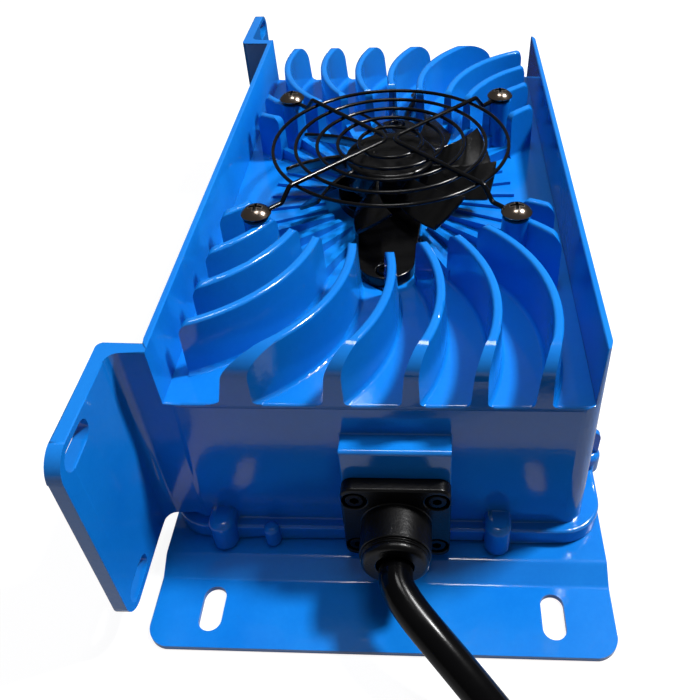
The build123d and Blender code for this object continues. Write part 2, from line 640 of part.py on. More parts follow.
def rear(shapes):
    """The same pieces at the output end."""
    return [mirror(shape, about=Plane.XZ) for shape in shapes]


def fan_mount():
    """Strap with a round motor base and a bearing tube."""
    strap = Rot(0, 0, 90) * SlotOverall(2 * FAN_MOUNT_END, 2 * FAN_MOUNT_HALF_W)
    waist = make_face(Polyline(
        (-FAN_MOUNT_HALF_W, -44), (FAN_MOUNT_HALF_W, -44), (FAN_WAIST_HALF_W, -18), (FAN_WAIST_HALF_W, 18),
        (FAN_MOUNT_HALF_W, 44), (-FAN_MOUNT_HALF_W, 44), (-FAN_WAIST_HALF_W, 18), (-FAN_WAIST_HALF_W, -18),
        close=True))
    shape = plan(strap, DECK_Z, FAN_MOUNT_TOP_Z) + plan(waist, DECK_Z, FAN_MOUNT_TOP_Z)
    shape += rod(FAN_BASE_R, DECK_Z, FAN_MOUNT_TOP_Z)
    shape += rod(TUBE_R, FAN_MOUNT_TOP_Z - 0.5, 78.6)
    shape -= rod(BEARING_R, 65.6, 90)
    for y in (-FAN_SCREW_Y, FAN_SCREW_Y):
        shape -= rod(SCREW_R, 60, 70, 0, y)
        shape -= rod(3.2, FAN_HEAD_SEAT_Z, 70, 0, y)
    return shape


def fan_mount_screws():
    """Two pan heads through the strap."""
    one = rod(SCREW_R, 56.0, FAN_HEAD_SEAT_Z)
    head = rod(FAN_HEAD_R, FAN_HEAD_SEAT_Z, FAN_HEAD_SEAT_Z + 2.2)
    head = fillet(head.edges().group_by(Axis.Z)[-1], 0.9)
    one += head
    top = FAN_HEAD_SEAT_Z + 2.2
    one -= block(-1.6, 1.6, -0.35, 0.35, top - 1.3, top + 1)
    one -= block(-0.35, 0.35, -1.6, 1.6, top - 1.3, top + 1)
    return [Pos(0, y, 0) * one for y in (-FAN_SCREW_Y, FAN_SCREW_Y)]


def fan_motor_board():
    """Ring board with two sensors, on the motor base."""
    shape = rod(12.5, FAN_MOUNT_TOP_Z, FAN_MOUNT_TOP_Z + 1.0) - rod(TUBE_R, 60, 90)
    shape += block(6.5, 9.5, -2.0, 2.0, FAN_MOUNT_TOP_Z + 1.0, FAN_MOUNT_TOP_Z + 2.0)
    shape += block(-9.5, -7.0, -1.5, 1.5, FAN_MOUNT_TOP_Z + 1.0, FAN_MOUNT_TOP_Z + 2.2)
    return shape


def fan_stator():
    """Four-pole stator pressed on the bearing tube."""
    magnet_inner = HUB_R - HUB_WALL - MAGNET_THICK
    outer = magnet_inner - MAGNET_GAP
    low = FAN_MOUNT_TOP_Z + 3.0
    high = 78.0
    shape = rod(6.6, low, high)
    for turn in range(4):
        pole = block(5, outer - 0.7, -2.0, 2.0, low + 1, high - 1)
        coil = block(6.8, outer - 2.4, -3.4, 3.4, low + 0.3, high - 0.3)
        shape += Rot(0, 0, 45 + 90 * turn) * (pole + coil)
    shoes = rod(outer, low + 1, high - 1) - rod(outer - 1.4, low, high)
    for turn in range(4):
        shoes -= Rot(0, 0, 90 * turn) * block(5, 20, -1.2, 1.2, low, high)
    shape += shoes
    shape -= rod(TUBE_R, 60, 90)
    base_ring = rod(TUBE_R + 1.4, FAN_MOUNT_TOP_Z + 1.0, low) - rod(TUBE_R, 60, 90)
    return shape + base_ring


def fan_bearings():
    """Two ball bearings in the tube, each as one ring."""
    rings = []
    for low in (65.6, 75.4):
        ring = rod(BEARING_R, low, low + 2.5) - rod(SHAFT_R + SHAFT_GAP, 60, 90)
        rings.append(ring)
    return rings


def fan_shaft():
    """Steel shaft that turns with the impeller."""
    return rod(SHAFT_R, 66.0, HUB_TOP_Z - 0.7)


def fan_magnet():
    """Ring magnet inside the hub."""
    outer = HUB_R - HUB_WALL
    return rod(outer, 71.5, 79.0) - rod(outer - MAGNET_THICK, 60, 90)


def blade():
    """One twisted blade, lofted through sections that lean more towards the tip."""
    stations = (
        (HUB_R - 0.7, -62.0, -83.4),
        (23.0, -57.5, -78.2),
        (30.5, -51.8, -72.0),
        (BLADE_TIP_R + 1.6, -44.8, -64.2),
    )
    rise = BLADE_TOP_Z - BLADE_BOTTOM_Z
    sections = []
    for radius, lead, trail in stations:
        middle = radians((lead + trail) / 2)
        half = radius * radians((lead - trail) / 2)
        chord = (4 * half * half + rise * rise) ** 0.5
        lean = degrees(atan2(rise, 2 * half))
        origin = (radius * cos(middle), radius * sin(middle), (BLADE_TOP_Z + BLADE_BOTTOM_Z) / 2)
        plane = Plane(origin=origin, x_dir=(-sin(middle), cos(middle), 0),
                      z_dir=(cos(middle), sin(middle), 0))
        sections.append(plane * Rot(0, 0, lean) * Rectangle(chord - 0.6, BLADE_THICK))
    return loft(sections)


def fan_impeller():
    """Hub cup with nine blades and a boss for the shaft."""
    cup = rod(HUB_R, 71.2, HUB_TOP_Z)
    cup = fillet(cup.edges().group_by(Axis.Z)[-1], 1.4)
    blades = []
    one = blade() & (rod(BLADE_TIP_R, 60, 90) - rod(HUB_R - 0.5, 50, 95))
    for turn in range(BLADE_COUNT):
        blades.append(Rot(0, 0, turn * 360 / BLADE_COUNT) * one)
    shape = cup.fuse(*blades)
    shape -= rod(HUB_R - HUB_WALL, 60, HUB_TOP_Z - HUB_TOP_THICK)
    shape += rod(2.7, 79.0, HUB_TOP_Z - HUB_TOP_THICK)
    shape -= rod(SHAFT_R, 60, HUB_TOP_Z - 0.7)
    return shape


def finger_guard():
    """Five wire rings under two hairpin spokes that end in screw eyes."""
    spoke_z = GUARD_RING_Z + RING_WIRE_R + SPOKE_WIRE_R - SPOKE_SINK
    eye_z = POST_TOP_Z + SPOKE_WIRE_R
    rings = [Pos(0, 0, GUARD_RING_Z) * Torus(r, RING_WIRE_R) for r in GUARD_RING_R]
    parts = []
    for side in (-1, 1):
        route = [
            (side * 39.0, -39.0, eye_z),
            (side * 34.2, -34.2, eye_z),
            (side * 31.4, -31.4, spoke_z),
            (side * 0.2, 0.0, spoke_z),
            (side * 31.4, 31.4, spoke_z),
            (side * 34.2, 34.2, eye_z),
            (side * 39.0, 39.0, eye_z),
        ]
        parts.append(wire(route, [1.4, 1.4, HAIRPIN_R, 1.4, 1.4], SPOKE_WIRE_R))
        for end in (-1, 1):
            parts.append(Pos(side * POST_XY, end * POST_XY, eye_z) * Torus(EYE_R, SPOKE_WIRE_R))
    shape = parts[0]
    return shape.fuse(*parts[1:], *rings)


def guard_screws():
    """Four cross-recess screws with wide low heads."""
    seat = POST_TOP_Z + 2 * SPOKE_WIRE_R
    one = rod(GUARD_SCREW_R, POST_TOP_Z - GUARD_SCREW_DEPTH + 0.5, seat)
    top = seat + GUARD_HEAD_H
    # a cap of the sphere through the rim's edge and the crown
    rise = GUARD_HEAD_H - GUARD_HEAD_RIM
    dome_r = (GUARD_HEAD_R**2 + rise**2) / (2 * rise)
    one += rod(GUARD_HEAD_R, seat, top) & Pos(0, 0, top - dome_r) * Sphere(dome_r)
    one -= block(-2.1, 2.1, -0.45, 0.45, top - 1.5, top + 1)
    one -= block(-0.45, 0.45, -2.1, 2.1, top - 1.5, top + 1)
    screws = []
    for x in (-POST_XY, POST_XY):
        for y in (-POST_XY, POST_XY):
            screws.append(Pos(x, y, 0) * one)
    return screws


def fan_lead():
    """Thin lead from the strap's rear end, along the deck and down through it."""
    lay_z = DECK_Z + LEAD_R
    route = [
        (LEAD_START_X, FAN_MOUNT_END - 0.4, lay_z),
        (LEAD_START_X, FAN_MOUNT_END + 9.6, lay_z),
        (GROMMET_AT[0], GROMMET_AT[1], lay_z),
        (GROMMET_AT[0], GROMMET_AT[1], BOARD_TOP_Z + 6.0),
    ]
    return wire(route, [14.0, 1.2 * LEAD_R], LEAD_R)


def lead_grommet():
    """Rubber bush that seals the lead where it passes the deck."""
    x, y = GROMMET_AT
    shape = rod(3.6, CAVITY_TOP_Z, DECK_Z, x, y) + rod(4.8, CAVITY_TOP_Z - 1.0, CAVITY_TOP_Z, x, y)
    mouth = Pos(x, y, DECK_Z - 1.0) * Cone(LEAD_R, 3.1, 2.0)
    return shape - rod(LEAD_R, 50, 70, x, y) - mouth


def cord_route():
    """Corners of the cord from the input end to the coil."""
    x, y = COIL_CENTRE
    return [
        (PORT_X, CORD_START_Y, PORT_Z),
        (PORT_X, -135.2, PORT_Z),
        (21.0, -155.6, 17.9),
        (37.7, -170.3, CORD_R),
        (x - 24.0, y + COIL_OUTER_R, COIL_LOW_Z),
        (x, y + COIL_OUTER_R, COIL_LOW_Z),
    ]


def tail_route():
    """Corners of the cord from the coil to the plug."""
    x, y = COIL_CENTRE
    return [
        (x, y - COIL_OUTER_R, COIL_LOW_Z),
        (x - 32.0, y - COIL_OUTER_R, COIL_LOW_Z),
        (x - 62.0, y - COIL_OUTER_R + 8.0, 9.0),
    ]


def bend_radii(route, first_most):
    """Radius at each inner corner: 0.45 of the shorter run over tan of half the turn."""
    radii = []
    for before, here, after in zip(route, route[1:], route[2:]):
        run_in = Vector(*here) - Vector(*before)
        run_out = Vector(*after) - Vector(*here)
        turn = radians(run_in.get_angle(run_out))
        radii.append(0.45 * min(run_in.length, run_out.length) / tan(turn / 2))
    radii[0] = min(radii[0], first_most)
    return radii


def power_cord():
    """Round cord from the input end to the coil, and from the coil to the plug."""
    pieces = []
    # the first bend after the cap is a tight one, so that it starts outside the cap's hole
    for route, first_most in ((cord_route(), EXIT_BEND_R), (tail_route(), 20 * CORD_R)):
        radii = bend_radii(route, first_most)
        print("cord bends", [round(r, 1) for r in radii])
        pieces.append(wire(route, radii, CORD_R))
    return pieces


def cord_coil():
    """Four turns of cord as one ring."""
    spots = []
    for side in (-1, 1):
        for level in (0, 1):
            spots.append((COIL_R + side * COIL_PITCH / 2, COIL_LOW_Z + level * COIL_PITCH))
    section = None
    for spot in spots:
        disc = Pos(*spot) * Circle(CORD_R)
        section = disc if section is None else section + disc
    section += Pos(COIL_R, COIL_LOW_Z + COIL_PITCH / 2) * Rectangle(3, 3)
    ring = revolve(Plane.XZ * section, axis=Axis.Z)
    return Pos(COIL_CENTRE[0], COIL_CENTRE[1], 0) * ring


def cord_tie():
    """Band round the coil's turns."""
    half = (COIL_PITCH + 2 * CORD_R) / 2
    middle = COIL_LOW_Z + COIL_PITCH / 2
    band = RectangleRounded(2 * (half + TIE_THICK), 2 * (half + TIE_THICK), 3.2)
    band -= RectangleRounded(2 * half, 2 * half, 2.0)
    shape = extrude(Plane.XZ * band, amount=TIE_WIDTH / 2, both=True)
    x, y = COIL_CENTRE
    return Pos(x, y, 0) * Rot(0, 0, 215) * Pos(COIL_R, 0, middle) * shape


def plug_place():
    """Frame of the plug: its X axis leads away from the cord."""
    end = tail_route()[-1]
    before = tail_route()[-2]
    turn = degrees(atan2(end[1] - before[1], end[0] - before[0]))
    return Pos(end[0], end[1], 9.0) * Rot(0, 0, turn)


def mains_plug():
    """Generic moulded plug lying on its side."""
    body = Pos(24, 0, 0) * Box(28, 27, 18)
    body = fillet(body.edges().filter_by(Axis.X), 4.0)
    body = chamfer(body.faces().sort_by(Axis.X)[0].edges(), 3.0)
    relief = Pos(5, 0, 0) * Rot(0, 90, 0) * Cone(5.6, 7.2, 12)
    shape = body + relief
    for step in range(3):
        shape -= Pos(1.4 + 3.0 * step, 0, 0) * Rot(0, 90, 0) * (Cylinder(9, 1.0) - Cylinder(5.4, 1.0))
    shape -= Pos(-6, 0, 0) * Rot(0, 90, 0) * Cylinder(CORD_R, 14)
    pocket = Pos(38, 0, 0)
    for y in (-6.35, 6.35):
        shape -= pocket * Pos(-2, y, 1.5) * Box(5, 1.5, 6.3)
    shape -= pocket * Pos(-2, 0, -4.5) * Rot(0, 90, 0) * Cylinder(2.4, 5)
    return plug_place() * shape


def plug_pins():
    """Two flat pins and a round earth pin."""
    pins = []
    for y in (-6.35, 6.35):
        pins.append(plug_place() * Pos(44.75, y, 1.5) * Box(18.5, 1.5, 6.3))
    pins.append(plug_place() * Pos(46.25, 0, -4.5) * Rot(0, 90, 0) * Cylinder(2.4, 21.5))
    return pins


def main_board():
    """Board under the pillars."""
    shape = block(-BOARD_HALF_W, BOARD_HALF_W, -BOARD_HALF_L, BOARD_HALF_L, BOARD_BOTTOM_Z, BOARD_TOP_Z)
    shape = fillet(shape.edges().filter_by(Axis.Z), 3.0)
    for x in (-PILLAR_XY[0], PILLAR_XY[0]):
        for y in (-PILLAR_XY[1], PILLAR_XY[1]):
            shape -= rod(BOARD_SCREW_R, 5, 15, x, y)
    return shape


def board_screws():
    """Four screws up into the pillars."""
    one = rod(BOARD_SCREW_R, BOARD_BOTTOM_Z, BOARD_TOP_Z + 7.5)
    one += rod(2.3, BOARD_BOTTOM_Z - 1.7, BOARD_BOTTOM_Z)
    one -= block(-1.3, 1.3, -0.3, 0.3, BOARD_BOTTOM_Z - 2, BOARD_BOTTOM_Z - 0.8)
    screws = []
    for x in (-PILLAR_XY[0], PILLAR_XY[0]):
        for y in (-PILLAR_XY[1], PILLAR_XY[1]):
            screws.append(Pos(x, y, 0) * one)
    return screws


def insulation_sheet():
    """Film on the base plate under the board."""
    half_w = CAVITY_HALF_W - 1.0
    half_l = CAVITY_HALF_L - 2.0
    return block(-half_w, half_w, -half_l, half_l, PLATE_TOP_Z, PLATE_TOP_Z + 0.5)


TERMINAL_Y = BOARD_HALF_L - 5.6


def on_board(width, depth, height, x, y):
    """A box standing on the board."""
    return block(x - width / 2, x + width / 2, y - depth / 2, y + depth / 2, BOARD_TOP_Z, BOARD_TOP_Z + height)


def ring_choke(outer, inner, height, x, y):
    """A wound ring lying on a low base."""
    ring = rod(outer, BOARD_TOP_Z + 2, BOARD_TOP_Z + 2 + height, x, y)
    ring -= rod(inner, 0, 80, x, y)
    ring = fillet(ring.edges().filter_by(GeomType.CIRCLE), 2.5)
    for turn in range(16):
        strand = Pos(x, y, 0) * Rot(0, 0, turn * 22.5)
        ring += strand * block(inner - 0.5, outer + 0.5, -0.8, 0.8, BOARD_TOP_Z + 1.6, BOARD_TOP_Z + 2.4 + height)
    ring -= rod(inner - 0.5, 0, 80, x, y)
    return ring + rod(outer, BOARD_TOP_Z, BOARD_TOP_Z + 2, x, y)


def bulk_capacitors():
    """Two cans standing side by side."""
    cans = []
    for x in (12.0, 39.0):
        can = rod(12.5, BOARD_TOP_Z, BOARD_TOP_Z + 40, x, -26)
        can = fillet(can.edges().group_by(Axis.Z)[-1], 1.0)
        cans.append(can)
    return cans


def transformer_core():
    """E-shaped ferrite pair."""
    core = on_board(42, 20, 42, -12, 22)
    core -= block(-12 - 15, -12 - 7, 0, 50, BOARD_TOP_Z + 6, BOARD_TOP_Z + 36)
    core -= block(-12 + 7, -12 + 15, 0, 50, BOARD_TOP_Z + 6, BOARD_TOP_Z + 36)
    return core


def transformer_winding():
    """Bobbin and windings round the middle leg."""
    low = BOARD_TOP_Z + 6
    high = BOARD_TOP_Z + 36
    shape = block(-27, 3, 4, 40, low, high)
    shape = fillet(shape.edges().filter_by(Axis.Z), 5.0)
    shape -= block(-19, -5, 12, 32, low, high)
    shape -= block(-33, -27, 12, 32, low, high) + block(3, 9, 12, 32, low, high)
    feet = block(-27, 3, 4.2, 11.0, BOARD_TOP_Z, low) + block(-27, 3, 33.0, 39.8, BOARD_TOP_Z, low)
    return shape + feet


def output_capacitors():
    """Four small cans in a row."""
    cans = []
    for step in range(4):
        can = rod(5.0, BOARD_TOP_Z, BOARD_TOP_Z + 20, -15 + 12 * step, 74)
        cans.append(fillet(can.edges().group_by(Axis.Z)[-1], 0.6))
    return cans


SPREADER = (CAVITY_HALF_W - 4.0, CAVITY_HALF_W, -8.0, 70.0, 14.0, 48.0)
PAD_THICK = 0.4


def heat_spreader():
    """Bar on the side wall that takes the transistors' heat."""
    return block(*SPREADER)


def thermal_pad():
    """Pad between the bar and the transistors."""
    x = SPREADER[0]
    return block(x - PAD_THICK, x, SPREADER[2] + 1, SPREADER[3] - 1, 20, 46)


def power_transistors():
    """Four flat packages with three legs each, against the pad."""
    face = SPREADER[0] - PAD_THICK
    packages = []
    for step in range(4):
        y = 2 + 19 * step
        body = block(face - 5, face, y - 8, y + 8, 23, 44)
        for lead in (-5.4, 0, 5.4):
            body += block(face - 3.6, face - 2.9, y + lead - 0.6, y + lead + 0.6, BOARD_TOP_Z, 24)
        packages.append(body)
    return packages


def terminal(y):
    """Three-way terminal block."""
    shape = on_board(24, 10, 12, PORT_X, y)
    for step in (-1, 0, 1):
        shape -= rod(2.0, BOARD_TOP_Z + 9, BOARD_TOP_Z + 13, PORT_X + 7 * step, y)
    return shape


def port_leads(side):
    """Three short leads from the port to its terminal block."""
    leads = []
    for step in (-1, 0, 1):
        z = PORT_Z + (1.4 if step else -1.6)
        route = [
            (PORT_X + 2.4 * step, side * (BLOCK_FACE_Y - 3.57), z),
            (PORT_X + 2.4 * step, side * (CAVITY_HALF_L + 2.0), z),
            (PORT_X + 7 * step, side * TERMINAL_Y, z + 4.0),
            (PORT_X + 7 * step, side * TERMINAL_Y, BOARD_TOP_Z + 9),
        ]
        leads.append(wire(route, [4.0, 2.4], 1.1))
    return leads


def film_capacitor():
    """Boxed suppression capacitor."""
    return fillet(on_board(26, 10, 19, 34, -66).edges().group_by(Axis.Z)[-1], 0.8)


def relay():
    """Inrush relay."""
    return fillet(on_board(19, 15, 15.5, -42, -66).edges().group_by(Axis.Z)[-1], 0.8)


def fuse():
    """Glass fuse in two clips."""
    tube = Pos(34, -80, BOARD_TOP_Z + 4.5) * Rot(0, 90, 0) * Cylinder(2.6, 20)
    clips = on_board(3, 6, 6.5, 27, -80) + on_board(3, 6, 6.5, 41, -80)
    return tube + clips


def bridge_rectifier():
    """Flat bridge standing on its legs."""
    return on_board(30, 4.6, 20, 2, -44)


def fan_connector():
    """Small header under the grommet."""
    return on_board(7.4, 5.0, 6.0, GROMMET_AT[0], GROMMET_AT[1] - 1.2)


def write(name, shapes):
    """Write one node, moved to the part's origin."""
    if not isinstance(shapes, (list, tuple)):
        shapes = [shapes]
    solids = []
    for shape in shapes:
        solids.extend(shape.solids())
    moved = [Pos(ORIGIN_SHIFT_X, 0, 0) * solid for solid in solids]
    whole = Compound(children=moved) if len(moved) > 1 else moved[0]
    export_step(whole, f"parts/{name}.step")
    print(name, len(moved), round(sum(solid.volume for solid in solids)))


os.makedirs("parts", exist_ok=True)
write("housing", housing())
write("base_plate", base_plate())
write("base_gasket", base_gasket())
write("base_screws", base_screws())
write("input_gland", port_gland())
write("input_gland_seal", port_seal(CORD_R))
write("input_gland_cap", port_cap())
write("input_gland_screws", port_screws())
write("output_gland", rear([port_gland()]))
write("output_gland_seal", rear([port_seal(CORD_R)]))
write("output_gland_cap", rear([port_cap()]))
write("output_gland_screws", rear(port_screws()))
write("fan_mount", fan_mount())
write("fan_mount_screws", fan_mount_screws())
write("fan_motor_board", fan_motor_board())
write("fan_stator", fan_stator())
write("fan_bearings", fan_bearings())
write("fan_shaft", fan_shaft())
write("fan_magnet", fan_magnet())
write("fan_impeller", fan_impeller())
write("finger_guard", finger_guard())
write("guard_screws", guard_screws())
write("fan_lead", fan_lead())
write("lead_grommet", lead_grommet())
write("power_cord", power_cord())
write("cord_coil", cord_coil())
write("cord_tie", cord_tie())
write("mains_plug", mains_plug())
write("plug_pins", plug_pins())
write("main_board", main_board())
write("board_screws", board_screws())
write("insulation_sheet", insulation_sheet())
write("emi_choke", ring_choke(13, 6, 11, -8, -66))
write("film_capacitor", film_capacitor())
write("relay", relay())
write("fuse", fuse())
write("bridge_rectifier", bridge_rectifier())
write("pfc_choke", ring_choke(18, 8, 20, -32, -26))
write("bulk_capacitors", bulk_capacitors())
write("transformer_core", transformer_core())
write("transformer_winding", transformer_winding())
write("output_choke", ring_choke(12.5, 6, 12, -38, 60))
write("output_capacitors", output_capacitors())
write("heat_spreader", heat_spreader())
write("thermal_pad", thermal_pad())
write("power_transistors", power_transistors())
write("input_terminal", terminal(-TERMINAL_Y))
write("output_terminal", terminal(TERMINAL_Y))
write("input_leads", port_leads(-1))
write("output_leads", port_leads(1))
write("fan_connector", fan_connector())
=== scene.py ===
import bpy, bmesh, json, math
import numpy as np
from mathutils import Matrix, Vector
from mathutils.kdtree import KDTree

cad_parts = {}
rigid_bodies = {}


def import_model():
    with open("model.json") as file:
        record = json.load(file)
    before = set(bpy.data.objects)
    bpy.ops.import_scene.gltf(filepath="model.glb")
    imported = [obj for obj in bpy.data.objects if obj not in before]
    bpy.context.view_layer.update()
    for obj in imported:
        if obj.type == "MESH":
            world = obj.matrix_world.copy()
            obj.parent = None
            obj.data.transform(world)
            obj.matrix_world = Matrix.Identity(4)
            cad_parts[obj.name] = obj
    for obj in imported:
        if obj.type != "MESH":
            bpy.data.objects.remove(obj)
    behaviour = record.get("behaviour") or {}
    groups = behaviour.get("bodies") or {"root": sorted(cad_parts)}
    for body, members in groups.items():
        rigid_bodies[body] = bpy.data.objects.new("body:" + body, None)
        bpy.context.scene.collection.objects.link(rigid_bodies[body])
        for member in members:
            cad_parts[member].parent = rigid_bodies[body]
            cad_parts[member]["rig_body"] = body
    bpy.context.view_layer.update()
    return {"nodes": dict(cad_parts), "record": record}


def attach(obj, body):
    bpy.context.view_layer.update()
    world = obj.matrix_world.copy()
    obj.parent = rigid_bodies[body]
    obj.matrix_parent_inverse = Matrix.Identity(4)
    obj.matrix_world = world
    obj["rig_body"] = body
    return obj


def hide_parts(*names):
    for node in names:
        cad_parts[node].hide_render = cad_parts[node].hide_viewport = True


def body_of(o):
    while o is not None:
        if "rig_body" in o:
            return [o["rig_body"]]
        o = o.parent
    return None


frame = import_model()
mm = 0.001
shift = 1.4   # the part's origin is the middle of its box, 1.4 mm off the casting's middle


def report(text):
    print("charger:", text, flush=True)


class sock:
    # a socket that takes part in ordinary arithmetic, each operation one Math node
    def __init__(self, tree, out):
        self.tree, self.out = tree, out

    def calc(self, operation, other=None, turned=False):
        node = self.tree.nodes.new("ShaderNodeMath")
        node.operation = operation
        pair = [self, other] if not turned else [other, self]
        for place, value in enumerate(pair):
            if isinstance(value, sock):
                self.tree.links.new(value.out, node.inputs[place])
            elif value is not None:
                node.inputs[place].default_value = value
        return sock(self.tree, node.outputs[0])

    def __add__(self, other): return self.calc("ADD", other)
    def __radd__(self, other): return self.calc("ADD", other)
    def __sub__(self, other): return self.calc("SUBTRACT", other)
    def __rsub__(self, other): return self.calc("SUBTRACT", other, True)
    def __mul__(self, other): return self.calc("MULTIPLY", other)
    def __rmul__(self, other): return self.calc("MULTIPLY", other)
    def __truediv__(self, other): return self.calc("DIVIDE", other)
    def __rtruediv__(self, other): return self.calc("DIVIDE", other, True)


class finish:
    # one material: a Principled shader and the nodes that feed it
    def __init__(self, name, **fixed):
        self.material = bpy.data.materials.new(name)
        self.material.use_nodes = True
        self.tree = self.material.node_tree
        self.tree.nodes.clear()
        self.shader = self.node("ShaderNodeBsdfPrincipled", {}, **fixed)
        output = self.node("ShaderNodeOutputMaterial", {})
        self.tree.links.new(self.shader.outputs[0], output.inputs[0])
        self.place = self.part(self.node("ShaderNodeTexCoord", {}), "Object")

    def node(self, kind, settings, **values):
        # a value's name is its socket's, with underscores for spaces, or n and the socket's number
        made = self.tree.nodes.new(kind)
        for name, value in settings.items():
            setattr(made, name, value)
        for name, value in values.items():
            self.feed(made, name, value)
        return made

    def feed(self, made, name, value):
        key = name.replace("_", " ")
        place = int(key[1:]) if key[0] == "n" and key[1:].isdigit() else key
        socket = made.inputs[place]
        if isinstance(value, sock):
            self.tree.links.new(value.out, socket)
        else:
            socket.default_value = value

    def part(self, made, name=0):
        return sock(self.tree, made.outputs[name])

    def noise(self, scale, detail, rough):
        made = self.node("ShaderNodeTexNoise", {}, Vector=self.place, Scale=scale, Detail=detail,
                         Roughness=rough)
        return self.part(made)

    def between(self, value, low, high, first=0.0, last=1.0):
        made = self.node("ShaderNodeMapRange", {"clamp": True}, Value=value, From_Min=low, From_Max=high,
                         To_Min=first, To_Max=last)
        return self.part(made)

    def blend(self, factor, first, second):
        made = self.node("ShaderNodeMix", {"data_type": "RGBA"}, n0=factor, n6=first, n7=second)
        return self.part(made, 2)

    def relief(self, height, strength, distance):
        return self.part(self.node("ShaderNodeBump", {}, Height=height, Strength=strength, Distance=distance))

    def wear(self, **links):
        for name, value in links.items():
            self.feed(self.shader, name, value)
        return self


def rgb(red, green, blue):
    # display values 0..255 to the linear colour a shader takes
    shown = [v / 255 for v in (red, green, blue)]
    return tuple(((v + 0.055) / 1.055) ** 2.4 if v > 0.04 else v / 12.92 for v in shown) + (1.0,)


# fitted to the photo: angles in radians, place in mm, and focal length, middle and size in the photo's pixels
camera = {"yaw": -0.0767545, "pitch": 0.7155288, "roll": 0.0475502, "place": (16.466, -244.944, 217.583),
          "focal": 766.29, "middle": (388.06, 316.56), "size": 700, "sensor": 36, "clip": (0.01, 20)}


def makeCamera():
    # right = (cos yaw, -sin yaw, 0), down = forward x right, both turned by the roll
    cy, sy = math.cos(camera["yaw"]), math.sin(camera["yaw"])
    cp, sp = math.cos(camera["pitch"]), math.sin(camera["pitch"])
    forward = Vector((sy * cp, cy * cp, -sp))
    right = Vector((cy, -sy, 0))
    down = forward.cross(right)
    cr, sr = math.cos(camera["roll"]), math.sin(camera["roll"])
    right, down = cr * right + sr * down, -sr * right + cr * down
    data = bpy.data.cameras.new("photoCamera")
    data.sensor_width = camera["sensor"]
    data.lens = camera["focal"] / camera["size"] * camera["sensor"]
    data.shift_x = (camera["size"] / 2 - camera["middle"][0]) / camera["size"]
    data.shift_y = (camera["middle"][1] - camera["size"] / 2) / camera["size"]
    data.clip_start, data.clip_end = camera["clip"]
    made = bpy.data.objects.new("photoCamera", data)
    turned = Matrix((right, -down, -forward)).transposed().to_4x4()
    made.matrix_world = Matrix.Translation([v * mm for v in camera["place"]]) @ turned
    bpy.context.collection.objects.link(made)
    bpy.context.scene.camera = made


makeCamera()
report("camera made")

# in mm: route runs from the gland to the coil, and tail from the coil to the plug. Each lane of the coil is one
# turn at its radius and height, and the cord moves over within change of a turn on each side of a lane's end.
# Bulge sets the control points outside the curve, which passes inside them.
cord = {
    "radius": 4.8,
    "route": [(4.8, -108.5, 25.1), (4.8, -129.5, 25.1), (5.6, -138.0, 24.6), (22.5, -155.0, 18.3),
              (40.0, -170.0, 5.0), (55.0, -182.85, 6.1)],
    "coil": {"centre": (79.0, -240.0), "lanes": [(57.15, 6.1), (47.85, 6.1), (47.85, 15.4), (57.15, 15.4)],
             "pointsPerTurn": 16, "change": 0.1, "bulge": 1.0075},
    "tail": [(47.0, -297.15, 6.2), (17.0, -289.15, 9.0)],
    "steps": 8,
}


def coilPoints():
    coil = cord["coil"]
    reached = []
    for turn, (radius, height) in enumerate(coil["lanes"]):
        reached += [(turn + coil["change"], radius, height), (turn + 1 - coil["change"], radius, height)]
    reached = np.array(reached)
    turns = np.arange(len(coil["lanes"]) * coil["pointsPerTurn"] + 1) / coil["pointsPerTurn"]
    radius = np.interp(turns, reached[:, 0], reached[:, 1]) * coil["bulge"]
    height = np.interp(turns, reached[:, 0], reached[:, 2])
    angle = math.pi / 2 - turns * 2 * math.pi
    across = coil["centre"][0] + radius * np.cos(angle)
    along = coil["centre"][1] + radius * np.sin(angle)
    return np.stack([across, along, height], 1).tolist()


def makeCord():
    points = np.array(cord["route"] + coilPoints() + cord["tail"])
    points[:, 0] += shift
    curve = bpy.data.curves.new("powerCord", "CURVE")
    curve.dimensions = "3D"
    line = curve.splines.new("NURBS")
    line.points.add(len(points) - 1)
    line.points.foreach_set("co", np.column_stack([points * mm, np.ones(len(points))]).ravel())
    line.points.foreach_set("radius", np.full(len(points), cord["radius"] * mm))
    line.order_u = 3
    line.use_endpoint_u = True
    line.resolution_u = cord["steps"]
    curve.bevel_depth = 1.0   # the tube is this times a point's radius, which keeps the curve's box tight
    curve.bevel_resolution = cord["steps"]
    curve.use_fill_caps = True
    made = bpy.data.objects.new("powerCordRound", curve)
    bpy.context.collection.objects.link(made)
    return made


powerCord = makeCord()
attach(powerCord, "charger")
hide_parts("power_cord", "cord_coil")
report("cord laid")

# here and below, a noise is its scale, detail and roughness, a span is the values of a noise between which a
# colour or a roughness changes, and a bump is its strength and its height in m
paint = {"deep": (8, 108, 198), "light": (16, 119, 207), "shine": 0.42, "coat": 0.3, "coatRoughness": 0.03,
         "roughness": (0.11, 0.18), "roughSpan": (0.25, 0.75), "cloud": (30, 4, 0.6), "cloudSpan": (0.3, 0.7),
         "cloudShare": 0.8, "fleck": (900, 2, 0.5), "fleckSpan": (0.4, 0.7), "fineGrain": (520, 2, 0.5),
         "fineShare": 0.6, "wideGrain": (140, 2, 0.5), "bump": (0.15, 0.0004)}


